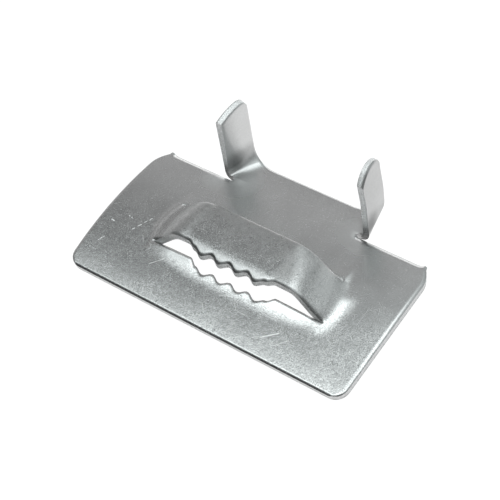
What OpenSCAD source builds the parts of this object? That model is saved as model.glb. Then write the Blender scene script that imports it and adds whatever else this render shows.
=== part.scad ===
// Ear buckle for steel strapping band, stamped from one sheet of stainless steel.
// The sheet is drawn as a flat blank: u runs across it, v from the front edge to the back.
// Functions then form the blank: they raise the bridge, fold the ears and arch the whole plate.

/* [Band] */
// Width of the steel band that the buckle closes
band_w = 19; // [16:0.5:22]
// Room between the band and both ears together
band_room = 0.6; // [0.2:0.1:1]

/* [Plate] */
// Width of the plate across the band
plate_w = 41; // [39:0.5:56]
// Depth of the plate from its front edge to the sheared back edge
plate_d = 20.2; // [18:0.1:26]
// Thickness of the sheet
sheet_t = 1; // [0.6:0.05:1.4]
// Radius of the arch that the underside is bent to
arch_r = 60; // [40:1:300]
// How far the sides bulge out at mid depth
side_crown = 0.34; // [0:0.02:0.8]
// Radius of the two front corners
front_corner_r = 1.7; // [0.8:0.1:3]
// Length of the rounded rear corners along the sides
rear_corner_l = 2.9; // [1.5:0.1:3.4]
// How far the rounded rear corners cut in
rear_corner_in = 1.25; // [0.4:0.05:2]
// How far the shear's burr stands out at the rear corners
corner_burr = 0.25; // [0:0.05:0.5]
// Depth of the roll along the sheared edges
edge_roll = 0.16; // [0.02:0.02:0.3]
// Width of the roll along the sheared edges
edge_roll_w = 0.4; // [0.2:0.05:0.7]

/* [Bridge] */
// Distance from the front edge to the front cut
slot_y = 7.3; // [6:0.1:8.5]
// Width of the strip between the front and rear cuts
bridge_w = 6.1; // [4.5:0.1:8]
// How far the strip is raised above the plate
bridge_rise = 3.6; // [2.5:0.05:5]
// How far each foot lies outside the band, at the front cut
foot_room = 3.85; // [3.4:0.05:4.5]
// How much nearer to the band each foot lies at the rear cut
rear_foot_less = 0.2; // [0:0.1:0.6]
// How far the front cut ends before each foot, where the plate is drawn up
tip_room = 0.9; // [0.3:0.1:1.2]
// How far the rear cut ends before each foot
rear_tip_room = 1.2; // [0.4:0.1:2.8]
// Width of the plate behind the rear cut that each foot draws up
skirt_w = 3; // [2:0.1:3.8]
// Length of each incline along the front cut
front_incline = 5.8; // [4.4:0.1:6.2]
// Length of each incline along the rear cut
rear_incline = 7.6; // [5:0.1:8]
// Share of each incline that its rounded foot takes, along the front cut
front_foot_round = 0.24; // [0.1:0.02:0.36]
// Share of each incline that its rounded foot takes, along the rear cut
rear_foot_round = 0.44; // [0.1:0.02:0.46]
// Share of each incline that its rounded shoulder takes, along the front cut
front_shoulder = 0.42; // [0.2:0.02:0.5]
// Share of each incline that its rounded shoulder takes, along the rear cut
rear_shoulder = 0.5; // [0.2:0.02:0.54]
// How far each foot bulges out between the cuts
foot_bulge = 0.9; // [0.4:0.1:2]
// Sideways shift of the front cut from the plate's middle
bridge_shift = 0.7; // [-0.8:0.05:0.8]
// Further sideways shift of the rear cut
bridge_skew = -0.65; // [-0.8:0.05:0.8]
// How far the raised strip draws back from the front cut
front_neck = 0.48; // [0:0.02:1]
// How far the raised strip draws in from the rear cut
rear_neck = 0.14; // [0:0.02:0.6]
// How far the strip's front lip is turned down
lip_drop = 0.22; // [0:0.05:0.9]
// Width of the strip's turned lip
lip_w = 1.6; // [1:0.1:2.5]
// How far the plate's lip at the front cut is turned up
slot_lip = 0.2; // [0:0.05:0.5]
// Width of the plate's turned lip
slot_lip_w = 1.8; // [1:0.1:2.5]

/* [Teeth] */
// Number of teeth on the front edge of the bridge
tooth_count = 4; // [2:1:5]
// Distance from tooth to tooth
tooth_pitch = 2.6; // [2:0.05:2.8]
// Depth of the tooth wave
tooth_depth = 0.54; // [0.2:0.02:0.9]
// Sideways shift of the toothed stretch from the plate's middle
tooth_shift = 0.4; // [-1:0.05:1]
// How far the toothed stretch of the plate's edge lies in front of the straight cut
slot_step = 0.95; // [0.4:0.05:1.2]
// How far the toothed stretch of the bridge's edge lies in front of the straight cut
bridge_step = 0.72; // [0.4:0.02:1.2]
// Length of the ramp at each end of the toothed stretch
step_ramp = 1.1; // [0.6:0.1:1.6]

/* [Ears] */
// How far the tongue between the ears reaches past the plate's back edge
tongue_l = 4.2; // [3:0.1:6]
// Height of the left ear above the tongue
ear_h = 10.5; // [7:0.1:14]
// How much lower the right ear is than the left one
right_ear_less = 0.7; // [0:0.1:1]
// Gap that the shear leaves between the plate's back edge and the ears
ear_kerf = 0.55; // [0.2:0.05:1]
// How far the left ear reaches behind the tongue's end
ear_over = 1.1; // [0:0.1:1.4]
// How far the right ear reaches behind the tongue's end
right_ear_over = 0.7; // [0:0.1:1.4]
// How far the ears turn in from front to rear
ear_toe = 0.45; // [0:0.05:1.2]
// Inside radius of the fold at the ear's front edge
fold_front_r = 0.4; // [0.3:0.1:2]
// Inside radius of the fold at the ear's rear edge
fold_rear_r = 2.8; // [1:0.1:3.5]
// How far the ear's inner face rolls away at its front edge, up at the tip
ear_roll = 0.12; // [0:0.02:0.2]
// How far the left ear's inner face rolls away at its front edge, down at the fold
fold_roll = 0.42; // [0:0.02:0.5]
// Width of the roll at the ear's front edge
ear_roll_w = 1.2; // [0.5:0.1:1.6]
// How much lower the left ear's front corner is than its tip
ear_front_drop = 1.25; // [0.3:0.05:2]
// How much lower the right ear's front corner is than its tip
right_front_drop = 0.95; // [0.3:0.05:2]
// Radius of the left ear's rear corner
ear_corner_r = 1.2; // [0.5:0.1:1.8]
// Radius of the right ear's rear corner
right_corner_r = 0.5; // [0.3:0.1:1.8]
// How much lower the top of the left ear's inner face is than the top of its outer face
ear_bevel = 0.3; // [0:0.05:0.4]
// Depth of the rounding along the ear's outer edge
ear_round = 0.28; // [0:0.02:0.3]
// Backward lean of the ears in degrees
ear_lean = 1.2; // [0:0.1:5]

/* [Hidden] */

half_t = sheet_t / 2;
half_w = plate_w / 2;
total_d = plate_d + tongue_l;
arch_mid = total_d / 2;
deg_per_mm = 180 / (PI * arch_r);
arch_foot = arch_r * cos(arch_mid * deg_per_mm);

slot_rear = slot_y + bridge_w;
slot_half = band_w / 2 + foot_room - tip_room;
teeth_half = tooth_count * tooth_pitch / 2;
// Share of the toothed stretch's step that the bends behind both lips follow
lip_follow = 0.6;
// Length over which the plate's turned lip levels out from the ends of the front cut
lip_fade = 3;
// Length over which the sheet stops leaning inside the ends of the cuts
lean_fade = 1.2;

ear_in = (band_w + band_room) / 2;
function over_at(side) = side > 0 ? right_ear_over : ear_over;
function ear_d(side) = tongue_l - ear_kerf + over_at(side);
// Share of the ear's width at which its tip is highest
ear_tip_at = 0.95;
// Length over which the shear's gap opens beside the fold
kerf_ramp = 0.4;
up = [0, sin(ear_lean), cos(ear_lean)];

// Steps of the grid across the teeth, the inclines, the feet and the tongue
steps_per_tooth = 8;
steps_incline = 12;
steps_foot = 5;
steps_tongue = 10;
steps_corner = 5;
steps_fold = 7;
// Rows behind the strip's lip, behind the rear cut and along the rear corners
strip_steps = [0, 0.35, 0.7];
skirt_steps = [0.25, 0.45, 0.7];
rear_corner_steps = [0, 0.3, 0.55, 0.75];
// Rows and columns beside a sheared edge, as shares of its roll's width
roll_shares = [1, 0.35, 0];

function mix(a, b, t) = a + (b - a) * t;
function limit(x) = min(1, max(0, x));
function smooth(x) = limit(x) * limit(x) * (3 - 2 * limit(x));
function square_of(x) = x * x;
function fractions(n) = [for (k = [0:n]) k / n];
function reversed(list) = [for (k = [len(list) - 1:-1:0]) list[k]];

// Rise from 0 to 1 with a rounded foot, a straight middle and a rounded shoulder, by the share of
// the strip's width, and its slope
function foot_round(share) = mix(front_foot_round, rear_foot_round, share);
function shoulder(share) = mix(front_shoulder, rear_shoulder, share);
function steepest(share) = 1 / (1 - (foot_round(share) + shoulder(share)) / 2);
function rounded(t) = t * t * t * (1 - t / 2);
function ease(x, share) =
    let (foot = foot_round(share), top = shoulder(share))
    x <= 0 ? 0
    : x < foot ? steepest(share) * foot * rounded(x / foot)
    : x < 1 - top ? steepest(share) * (x - foot / 2)
    : x < 1 ? 1 - steepest(share) * top * rounded((1 - x) / top)
    : 1;
function ease_slope(x, share) =
    x <= 0 || x >= 1 ? 0
    : steepest(share) * min(smooth(x / foot_round(share)), smooth((1 - x) / shoulder(share)));

// How far a sheared edge's roll sinks the upper face, by the distance from the edge
function roll(distance) = edge_roll * square_of(max(0, 1 - distance / edge_roll_w));

// Half width of the plate at depth v: crowned sides, round corners and the shear's burr
function crowned(v) = half_w - side_crown * square_of(2 * v / plate_d - 1);
function front_cut(v) =
    v >= front_corner_r ? 0
    : front_corner_r - sqrt(square_of(front_corner_r) - square_of(front_corner_r - v));
function rear_cut(v) = rear_corner_in * square_of(max(0, 1 - (plate_d - v) / rear_corner_l));
function burr(v) = corner_burr * max(0, 1 - (plate_d - v) / edge_roll_w);
function half_at(v) = crowned(v) - front_cut(v) - rear_cut(v) + burr(v);

// The strip between the cuts, by the share of its width from front to rear: its middle, the line
// that the feet start from, half the length of the cut there, the foot of each incline and the half
// length of the level crest
function strip_mid(share) = bridge_shift + bridge_skew * share;
function foot_line(share) = band_w / 2 + foot_room - rear_foot_less * share;
function cut_half(share) = foot_line(share) - mix(tip_room, rear_tip_room, share);
function foot_half(share) = foot_line(share) + 4 * foot_bulge * share * (1 - share);
function crest_half(share) = foot_line(share) - mix(front_incline, rear_incline, share);

// How far up the incline a place lies, at distance x from the strip's middle
function climb_at(x, share) = (foot_half(share) - abs(x)) / (foot_half(share) - crest_half(share));

// Tooth wave of the front cut at place u across the plate
function toothed(u) = smooth((teeth_half + step_ramp - abs(u - tooth_shift)) / step_ramp);
function wave(u) =
    let (x = u - tooth_shift)
    tooth_depth / 2 * (abs(x) >= teeth_half ? 1 : cos(360 * (x / tooth_pitch + tooth_count / 2)));
function slot_front_at(u) = slot_y - toothed(u) * (slot_step - wave(u));

// Front and rear edges of the raised strip, which draws in where it rises
function neck_at(x, share) =
    let (from_tip = (cut_half(share) - abs(x)) / (cut_half(share) - crest_half(share)))
    mix(front_neck, -rear_neck, share) * ease(from_tip, share);
function bridge_front_at(x) =
    let (u = strip_mid(0) + x)
    slot_y + neck_at(x, 0) - toothed(u) * (bridge_step - wave(u));
function bridge_rear_at(x) = slot_rear + neck_at(x, 1);

// Lines that the lips of the plate and of the strip are measured from
function lip_ramp(x) = lip_follow * smooth((slot_half - abs(x)) / (slot_half - teeth_half));
function slot_line(x) = slot_y - slot_step * lip_ramp(x);
function bridge_line(x) = slot_y + neck_at(x, 0) - bridge_step * lip_ramp(x);

// Upper and lower point of the formed sheet over blank point (u, v): the middle of the sheet
// is raised by h, leans by its slope across, and its upper face is sunk by an edge roll
function sheet(u, v, h = 0, slope = 0, sink = 0) =
    let (turn = (v - arch_mid) * deg_per_mm)
    let (radius = arch_r + half_t + h)
    let (middle = [u, radius * sin(turn), radius * cos(turn) - arch_foot])
    let (lean = [-slope, sin(turn), cos(turn)])
    let (normal = lean / norm(lean))
    [middle + (half_t - sink) * normal, middle - half_t * normal];

// A column of the grid is [side, place]. Side 0 lies between the cuts' ends, at a share of their
// half length. Side -1 or 1 lies past them: a number is a place on the foot, from the cut's end
// to the foot's outer edge, and a list holds a place from the foot to the roll along the side,
// or from that roll to the plate's side.
tooth_shares = [for (f = fractions(tooth_count * steps_per_tooth))
    (mix(-teeth_half, teeth_half, f) + tooth_shift - bridge_shift) / slot_half];
ramp_shares = [for (side = [-1, 1])
    (side * (teeth_half + step_ramp) + tooth_shift - bridge_shift) / slot_half];
function incline_shares(side) = [for (k = [1:steps_incline - 1])
    mix(ramp_shares[side > 0 ? 1 : 0], side, k / steps_incline)];
cut_shares = concat(
    reversed(incline_shares(-1)),
    [ramp_shares[0], (ramp_shares[0] + tooth_shares[0]) / 2],
    tooth_shares,
    [(ramp_shares[1] + tooth_shares[len(tooth_shares) - 1]) / 2, ramp_shares[1]],
    incline_shares(1));
function past_cut(side) = concat(
    [for (f = fractions(steps_foot)) [side, f]],
    [[side, [0.5]]],
    [for (f = roll_shares) [side, [1, f]]]);
function columns(inner) = concat(reversed(past_cut(-1)), inner, past_cut(1));
band_columns = columns([for (x = cut_shares) [0, x]]);

// Place u of a column at depth v, beside the strip's share of its width
function column_u(column, v, share) =
    let (side = column[0], place = column[1], edge = side * half_at(v))
    let (foot = foot_line(share) + foot_bulge)
    side == 0 ? strip_mid(share) + cut_half(share) * place
    : is_num(place) ? strip_mid(share) + side * mix(cut_half(share), foot, place)
    : len(place) == 1 ? mix(strip_mid(share) + side * foot, edge - side * edge_roll_w, place[0])
    : edge - side * edge_roll_w * place[1];

// Rows of the front panel: the front corners, the plain part, and the turned lip at the cut
corner_rows = [for (f = fractions(steps_corner)) front_corner_r * (1 - cos(90 * f))];
lip_rows = concat([slot_lip_w, slot_lip_w / 2], edge_roll_w * roll_shares);
function front_rows(end) = concat(
    corner_rows,
    [mix(front_corner_r, end - slot_lip_w, 0.5)],
    [for (d = lip_rows) end - d]);

// Height and slope of the plate along the front cut, share 0, or the rear cut, share 1: drawn up by
// the feet past the ends of the cut, and between them turned up as a lip along the front cut
function edge_rise(share) = bridge_rise - lip_drop * (1 - share);
function foot_rise(x, share) = edge_rise(share) * ease(climb_at(x, share), share);
function foot_slope(x, share) =
    -sign(x) * edge_rise(share) * ease_slope(climb_at(x, share), share)
    / (foot_half(share) - crest_half(share));
function lip_rise(x, share) =
    let (inward = cut_half(share) - abs(x))
    inward < 0 ? foot_rise(x, share)
    : mix(foot_rise(cut_half(share), share), slot_lip * (1 - share), smooth(inward / lip_fade));
function lip_slope(x, share) =
    let (inward = cut_half(share) - abs(x))
    inward < 0 ? foot_slope(x, share)
    : foot_slope(sign(x) * cut_half(share), share) * (1 - smooth(inward / lean_fade));

function front_point(column, row) =
    let (inside = column[0] == 0)
    let (cut_u = column_u(column, slot_y, 0))
    let (x = cut_u - strip_mid(0))
    let (end = inside ? slot_front_at(cut_u) : slot_y)
    let (line = inside ? slot_line(x) : slot_y)
    let (v = front_rows(end)[row])
    let (u = column_u(column, v, 0))
    let (near = square_of(max(0, 1 - (line - v) / slot_lip_w)))
    let (cut_roll = inside ? roll(end - v) : 0)
    sheet(u, v, lip_rise(x, 0) * near, lip_slope(x, 0) * near,
          max(roll(v), roll(half_at(v) - abs(u)), cut_roll));

// Rows of the raised strip: its turned lip, its middle, and the rolls along both edges
function strip_rows(width) = concat(
    [for (f = reversed(roll_shares)) f * edge_roll_w / width],
    [lip_w / 2 / width],
    [for (f = strip_steps) mix(lip_w / width, 1, f)],
    [for (f = roll_shares) 1 - f * edge_roll_w / width]);

function strip_point(column, row) =
    let (inside = column[0] == 0)
    let (front_x = column_u(column, slot_y, 0) - strip_mid(0))
    let (rear_x = column_u(column, slot_rear, 1) - strip_mid(1))
    let (front = inside ? bridge_front_at(front_x) : slot_y)
    let (line = inside ? bridge_line(front_x) : slot_y)
    let (rear = inside ? bridge_rear_at(rear_x) : slot_rear)
    let (share = strip_rows(rear - front)[row])
    let (v = mix(front, rear, share))
    let (u = column_u(column, v, share))
    let (x = u - strip_mid(share))
    let (climb = climb_at(x, share))
    let (near = max(0, 1 - (v - line) / lip_w))
    let (rise = bridge_rise - lip_drop * near * near)
    let (steep = rise * ease_slope(climb, share) / (foot_half(share) - crest_half(share)))
    let (cut_roll = inside ? max(roll(v - front), roll(rear - v)) : 0)
    sheet(u, v, rise * ease(climb, share), -sign(x) * steep,
          max(cut_roll, roll(half_at(v) - abs(u))));

// Fold of the ears by the share of their width from front to rear: radius of the sheet's middle,
// and the place across the plate where the fold starts
function fold_r(share) = mix(fold_front_r, fold_rear_r, share) + half_t;
function fold_x(share) = ear_in + half_t - fold_r(share) - ear_toe * share;

// Rows of the rear panel, from the rear cut to the sheared back edge
back_rows = concat(
    [for (f = reversed(roll_shares)) slot_rear + edge_roll_w * f],
    [for (f = skirt_steps) mix(slot_rear, plate_d - rear_corner_l, f)],
    [for (f = rear_corner_steps) plate_d - rear_corner_l * (1 - f)],
    [for (f = roll_shares) plate_d - edge_roll_w * f]);
tongue_shares = [for (f = fractions(steps_tongue)) mix(-1, 1, f)];
// Places between the tongue, at 1, and the end of the rear cut, at 2
beside_tongue = [1.3, 1.6, 1.85];
back_columns = columns([for (f = concat(-reversed(beside_tongue), tongue_shares, beside_tongue)) [0, f]]);
function back_u(place) =
    let (side = sign(place), past = max(0, abs(place) - 1))
    abs(place) <= 1 ? place * fold_x(0)
    : mix(side * fold_x(0), strip_mid(1) + side * cut_half(1), past);

function back_point(column, row) =
    let (inside = column[0] == 0)
    let (v = back_rows[row])
    let (u = inside ? back_u(column[1]) : column_u(column, v, 1))
    let (x = (inside ? u : column_u(column, slot_rear, 1)) - strip_mid(1))
    let (near = square_of(max(0, 1 - (v - slot_rear) / skirt_w)))
    let (cut_roll = inside ? roll(v - slot_rear) : 0)
    let (past_ear = abs(u) - fold_x(0))
    let (shear_roll = roll(plate_d - v) * smooth(past_ear / edge_roll_w))
    sheet(u, v, lip_rise(x, 1) * near, lip_slope(x, 1) * near,
          max(cut_roll, shear_roll, roll(half_at(v) - abs(u))));

// Rows across the tongue and the ears, from front to rear
tongue_rows = [0, 0.04, 0.12, 0.3, 0.5, 0.7, 0.88, 0.96, 1];

function tongue_point(place, row) =
    let (share = tongue_rows[row])
    let (v = mix(plate_d, total_d, share))
    sheet(place * fold_x(share), v, 0, 0, roll(total_d - v));

// Height of the ear's edge at a share of its width: a rising front, and a round rear corner
function ear_top(side, share) =
    let (corner_r = side > 0 ? right_corner_r : ear_corner_r)
    let (corner = max(0, 1 - ear_d(side) * (1 - share) / corner_r))
    ear_h + half_t - (side > 0 ? right_ear_less : 0)
    - (side > 0 ? right_front_drop : ear_front_drop) * square_of(max(0, 1 - share / ear_tip_at))
    - corner_r * (1 - sqrt(1 - corner * corner));

// Columns up an ear: shares of the fold, then shares of the upright part
fold_steps = fractions(steps_fold);
upright_steps = [0.3, 0.6, 0.85, 0.95, 0.985, 1];
ear_columns = len(fold_steps) + len(upright_steps);

function ear_point(side, column, row) =
    let (share = tongue_rows[row])
    let (fold = column < len(fold_steps) ? fold_steps[column] : 1)
    let (upright = column < len(fold_steps) ? 0 : upright_steps[column - len(fold_steps)])
    let (radius = fold_r(share))
    let (length = ear_top(side, share) - radius)
    let (s = radius * PI / 2 * fold)
    let (front = plate_d + ear_kerf * smooth(s / kerf_ramp))
    let (rear = total_d + over_at(side) * smooth(fold))
    let (v = mix(front, rear, share))
    let (turn = (v - arch_mid) * deg_per_mm)
    let (bend = 90 * fold)
    let (x = fold_x(share) + radius * sin(bend))
    let (rise = radius * (1 - cos(bend)) + length * upright)
    let (middle_r = arch_r + half_t)
    let (base = [side * x, middle_r * sin(turn), middle_r * cos(turn) - arch_foot])
    let (lean = [-side * sin(bend), cos(bend) * sin(turn), cos(bend) * cos(turn)])
    let (normal = lean / norm(lean))
    let (front_room = fold > 0 ? v - front : edge_roll_w)
    let (top_room = length * (1 - upright))
    let (front_roll = side > 0 ? ear_roll : mix(fold_roll, ear_roll, upright))
    let (rolled = front_roll * smooth(fold) * square_of(max(0, 1 - (v - front) / ear_roll_w)))
    let (sink = max(rolled, roll(min(front_room, rear - v, top_room))))
    let (outer_sink = ear_round / edge_roll * roll(top_room))
    let (bevel = side > 0 ? 0 : ear_bevel * upright)
    [base + (rise - bevel) * up + (half_t - sink) * normal,
     base + rise * up - (half_t - outer_sink) * normal];

// A panel is a grid of upper and lower points
strip_row_count = len(strip_rows(bridge_w));
front_panel = [for (row = [0:len(front_rows(slot_y)) - 1]) [for (c = band_columns) front_point(c, row)]];
strip_panel = [for (row = [0:strip_row_count - 1]) [for (c = band_columns) strip_point(c, row)]];
back_panel = [for (row = [0:len(back_rows) - 1]) [for (c = back_columns) back_point(c, row)]];
tongue_panel = [for (row = [0:len(tongue_rows) - 1]) [for (f = tongue_shares) tongue_point(f, row)]];
function ear_panel(side) = [for (row = [0:len(tongue_rows) - 1])
    [for (c = [0:ear_columns - 1]) ear_point(side, side > 0 ? c : ear_columns - 1 - c, row)]];

// The skin of a panel is the upper and lower faces of all its cells
function cell(a, b, c, d) = [
    [a[0], c[0], b[0]], [a[0], d[0], c[0]],
    [a[1], b[1], c[1]], [a[1], c[1], d[1]]];
function skin(panel) = [for (j = [0:len(panel) - 2]) for (i = [0:len(panel[0]) - 2])
    each cell(panel[j][i], panel[j][i + 1], panel[j + 1][i + 1], panel[j + 1][i])];

// A wall closes the sheet along a run of point pairs, with the outside on the run's right
function wall(run) = [for (k = [0:len(run) - 2]) let (a = run[k], b = run[k + 1])
    each [[a[0], b[0], b[1]], [a[0], b[1], a[1]]]];
function first_row(panel) = panel[0];
function last_row(panel) = panel[len(panel) - 1];
function left_side(panel) = [for (row = panel) row[0]];
function right_side(panel) = [for (row = panel) row[len(row) - 1]];

// The stretch of a row between the ends of the cuts, and the two stretches beside the tongue
cut_first = len(past_cut(1)) - 1;
function cut_run(row) = [for (i = [cut_first:len(row) - 1 - cut_first]) row[i]];
beside_first = cut_first + len(beside_tongue) + 1;
function before_tongue(row) = [for (i = [0:beside_first]) row[i]];
function after_tongue(row) = [for (i = [len(row) - 1 - beside_first:len(row) - 1]) row[i]];

plate_triangles = concat(
    skin(front_panel), skin(strip_panel), skin(back_panel),
    wall(first_row(front_panel)),
    wall(reversed(cut_run(last_row(front_panel)))),
    wall(cut_run(first_row(strip_panel))),
    wall(reversed(cut_run(last_row(strip_panel)))),
    wall(cut_run(first_row(back_panel))),
    wall(reversed(before_tongue(last_row(back_panel)))),
    wall(reversed(after_tongue(last_row(back_panel)))),
    [for (panel = [front_panel, strip_panel, back_panel])
        each concat(wall(reversed(left_side(panel))), wall(right_side(panel)))]);

function ear_triangles(side) =
    let (panel = ear_panel(side))
    concat(skin(panel), wall(first_row(panel)), wall(reversed(last_row(panel))),
           side > 0 ? wall(right_side(panel)) : wall(reversed(left_side(panel))));

triangles = concat(plate_triangles, skin(tongue_panel), wall(reversed(last_row(tongue_panel))),
                   ear_triangles(-1), ear_triangles(1));

module buckle() {
    color("silver")
    polyhedron(
        points = [for (t = triangles) each t],
        faces = [for (k = [0:len(triangles) - 1]) [3 * k, 3 * k + 1, 3 * k + 2]],
        convexity = 8);
}

buckle();
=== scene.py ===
"""Strapping buckle stamped from one sheet of cold rolled stainless steel, with its finish.

The blank is formed as in the part's source, on a finer grid and with true sheared edges.
"""
import math

import bmesh
import bpy
import numpy as np
from mathutils import Matrix, Vector


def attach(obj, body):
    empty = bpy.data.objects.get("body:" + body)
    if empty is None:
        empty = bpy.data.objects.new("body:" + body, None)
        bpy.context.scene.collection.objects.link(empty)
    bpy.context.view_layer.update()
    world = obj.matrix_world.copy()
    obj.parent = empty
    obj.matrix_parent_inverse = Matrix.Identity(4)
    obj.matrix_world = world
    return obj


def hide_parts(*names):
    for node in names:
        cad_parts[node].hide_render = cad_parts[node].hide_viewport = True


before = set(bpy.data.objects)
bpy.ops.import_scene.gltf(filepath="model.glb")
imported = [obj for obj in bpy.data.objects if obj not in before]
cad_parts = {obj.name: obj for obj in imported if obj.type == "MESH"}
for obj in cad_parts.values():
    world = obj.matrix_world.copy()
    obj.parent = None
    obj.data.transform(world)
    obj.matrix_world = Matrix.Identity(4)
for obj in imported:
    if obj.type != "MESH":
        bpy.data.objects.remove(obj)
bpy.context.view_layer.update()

MM = 0.001

# Band and plate, in millimetres
BAND_W, BAND_ROOM = 19.0, 0.6
PLATE_W, PLATE_D, SHEET_T = 41.0, 20.2, 1.0
ARCH_R = 60.0
SIDE_CROWN = 0.34
FRONT_CORNER_R = 1.7
REAR_CORNER_L, REAR_CORNER_IN = 2.9, 1.25
CORNER_BURR = 0.25
EDGE_ROLL, EDGE_ROLL_W, CREST_ROLL = 0.16, 0.4, 0.09
BACK_ROLL, BACK_ROLL_W, BACK_ROLL_FADE = 0.38, 0.85, 1.2

# Bridge over the window
SLOT_Y, BRIDGE_W, BRIDGE_RISE = 7.3, 6.1, 3.6
FOOT_ROOM, REAR_FOOT_LESS, TIP_ROOM, REAR_TIP_ROOM, SKIRT_W = 3.85, 0.2, 0.9, 1.2, 3.0
FRONT_INCLINE, REAR_INCLINE = 5.8, 7.6
FRONT_FOOT_ROUND, REAR_FOOT_ROUND = 0.3, 0.44
FRONT_SHOULDER, REAR_SHOULDER = 0.42, 0.5
FOOT_BULGE = 0.9
BRIDGE_SHIFT, BRIDGE_SKEW = 0.7, -0.65
FRONT_NECK, REAR_NECK = 0.48, 0.14
LIP_DROP, LIP_W = 0.22, 1.6
SLOT_LIP, SLOT_LIP_W, LIP_FADE, LEAN_FADE, LIP_FOLLOW = 0.33, 2.2, 3.0, 1.2, 0.6

# Swell beside the bridge's right foot: the start of its line, from the seat, and the line's run, its
# height and how far it reaches
SWELL_FROM, SWELL_RUN, SWELL_RISE, SWELL_REACH = (13.0, -4.9), (0.5, 3.7), 0.1, 2.4

# Teeth along the front cut
TOOTH_COUNT, TOOTH_PITCH, TOOTH_DEPTH, TOOTH_SHIFT = 4, 2.6, 0.54, 0.4
SLOT_STEP, BRIDGE_STEP, STEP_RAMP = 0.95, 0.72, 1.1

# Tongue and ears
TONGUE_L = 4.2
EAR_H, EAR_KERF, KERF_RAMP, EAR_TOE = 10.5, 0.55, 0.4, 0.45
FOLD_FRONT_L, FOLD_REAR_L = 1.8, 6.8
EAR_TIP_AT, EAR_ROUND = 0.95, 0.28
EAR_LEAN = math.radians(1.2)
# Share of an ear's height where its curl starts, and of its fold where the roll of its cut front edge
# starts, and how fast each grows from there
CURL_FROM, CURL_GROWTH = 0.5, 2.2
EAR_ROLL_FROM, EAR_ROLL_GROWTH = 0.2, 2.0
# Left and right ear: how much lower the top is, its arch and its climb to the rear, the reach behind
# the tongue, the drop of the front corner, the radius of the rear corner, the bevel of the top, how
# far the top curls in, and the depth and width of the front edge's roll at the fold and at the top
EARS = {
    -1: dict(less=0.0, arch=0.0, climb=0.0, over=1.1, drop=1.25, corner=1.2, bevel=0.3, curl=0.0,
             rolls=(0.6, 0.1), widths=(2.6, 0.6)),
    1: dict(less=1.95, arch=1.15, climb=1.2, over=0.7, drop=0.0, corner=0.1, bevel=0.0, curl=0.28,
            rolls=(0.12, 0.12), widths=(1.2, 1.2)),
}

HALF_T = SHEET_T / 2
HALF_W = PLATE_W / 2
TOTAL_D = PLATE_D + TONGUE_L
ARCH_FOOT = ARCH_R * math.cos(TOTAL_D / 2 / ARCH_R)
SLOT_REAR = SLOT_Y + BRIDGE_W
SLOT_HALF = BAND_W / 2 + FOOT_ROOM - TIP_ROOM
TEETH_HALF = TOOTH_COUNT * TOOTH_PITCH / 2
EAR_IN = (BAND_W + BAND_ROOM) / 2

# Distances below which two places are the same: at a cut's end, along a run of points, in the mesh
CUT_END, RUN_STEP, WELD = 1e-6, 0.001, 0.002
# Least length that a direction is divided by
TINY = 1e-9

# Numbers of grid lines over each form of the sheet
FOOT_LINES, PLAIN_LINES, CORNER_LINES, LIP_LINES = 15, 15, 12, 8
FRONT_LINES, STRIP_LINES, BACK_LINES = 13, 17, 19
TOOTH_LINES, RAMP_LINES, CUT_END_LINES = 20, 9, 37
TONGUE_LINES, BESIDE_TONGUE_LINES = 57, 17
EAR_DEPTH_LINES, EAR_LINES, FOLD_LINES = 17, 15, 29
# Distances from a sheared edge at which the grid has lines, from the farthest one to the edge
ROLL_LINES = np.array([2.2, 1.5, 1.0, 0.75, 0.52, 0.34, 0.2, 0.09, 0.0]) * EDGE_ROLL_W
ROLL_REACH = ROLL_LINES[0]
# Least gap between the lines of a rear corner and those of the roll beside it
LEAST_GAP = 0.05


def mix(a, b, t):
    return a + (b - a) * t


def smooth(x):
    x = np.clip(x, 0, 1)
    return x * x * (3 - 2 * x)


def between(start, end, lines):
    """Even places from start to end, without those two."""
    return np.linspace(start, end, lines)[1:-1]


def foot_round(share):
    return mix(FRONT_FOOT_ROUND, REAR_FOOT_ROUND, share)


def shoulder(share):
    return mix(FRONT_SHOULDER, REAR_SHOULDER, share)


def ease(x, share):
    """Rise from 0 to 1 with a rounded foot, a straight middle and a rounded shoulder, by the share
    of the strip's width."""
    x = np.clip(x, 0, 1)
    steep = 1 / (1 - (foot_round(share) + shoulder(share)) / 2)
    foot, top = np.minimum(x / foot_round(share), 1), np.minimum((1 - x) / shoulder(share), 1)
    low = foot_round(share) * foot ** 3 * (1 - foot / 2) + np.maximum(x - foot_round(share), 0)
    high = shoulder(share) * top ** 3 * (1 - top / 2)
    return np.where(x < 1 - shoulder(share), steep * low, 1 - steep * high)


def ease_slope(x, share):
    x = np.clip(x, 0, 1)
    steep = 1 / (1 - (foot_round(share) + shoulder(share)) / 2)
    return steep * np.minimum(smooth(x / foot_round(share)), smooth((1 - x) / shoulder(share)))


def roll(distance, depth=EDGE_ROLL, width=EDGE_ROLL_W):
    """How far a sheared edge's roll sinks the sheet's face, by the distance from the edge."""
    return depth * np.maximum(0, 1 - distance / width) ** 2


def half_at(v):
    """Half width of the plate: crowned sides, round corners and the shear's burr."""
    crowned = HALF_W - SIDE_CROWN * (2 * v / PLATE_D - 1) ** 2
    into_front = np.maximum(0, FRONT_CORNER_R - v)
    front_cut = FRONT_CORNER_R - np.sqrt(FRONT_CORNER_R ** 2 - into_front ** 2)
    rear_cut = REAR_CORNER_IN * np.maximum(0, 1 - (PLATE_D - v) / REAR_CORNER_L) ** 2
    burr = CORNER_BURR * np.maximum(0, 1 - (PLATE_D - v) / EDGE_ROLL_W)
    return crowned - front_cut - rear_cut + burr


# The strip between the cuts, by the share of its width from front to rear
def strip_mid(share):
    return BRIDGE_SHIFT + BRIDGE_SKEW * share


def foot_line(share):
    return BAND_W / 2 + FOOT_ROOM - REAR_FOOT_LESS * share


def cut_half(share):
    return foot_line(share) - mix(TIP_ROOM, REAR_TIP_ROOM, share)


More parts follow.
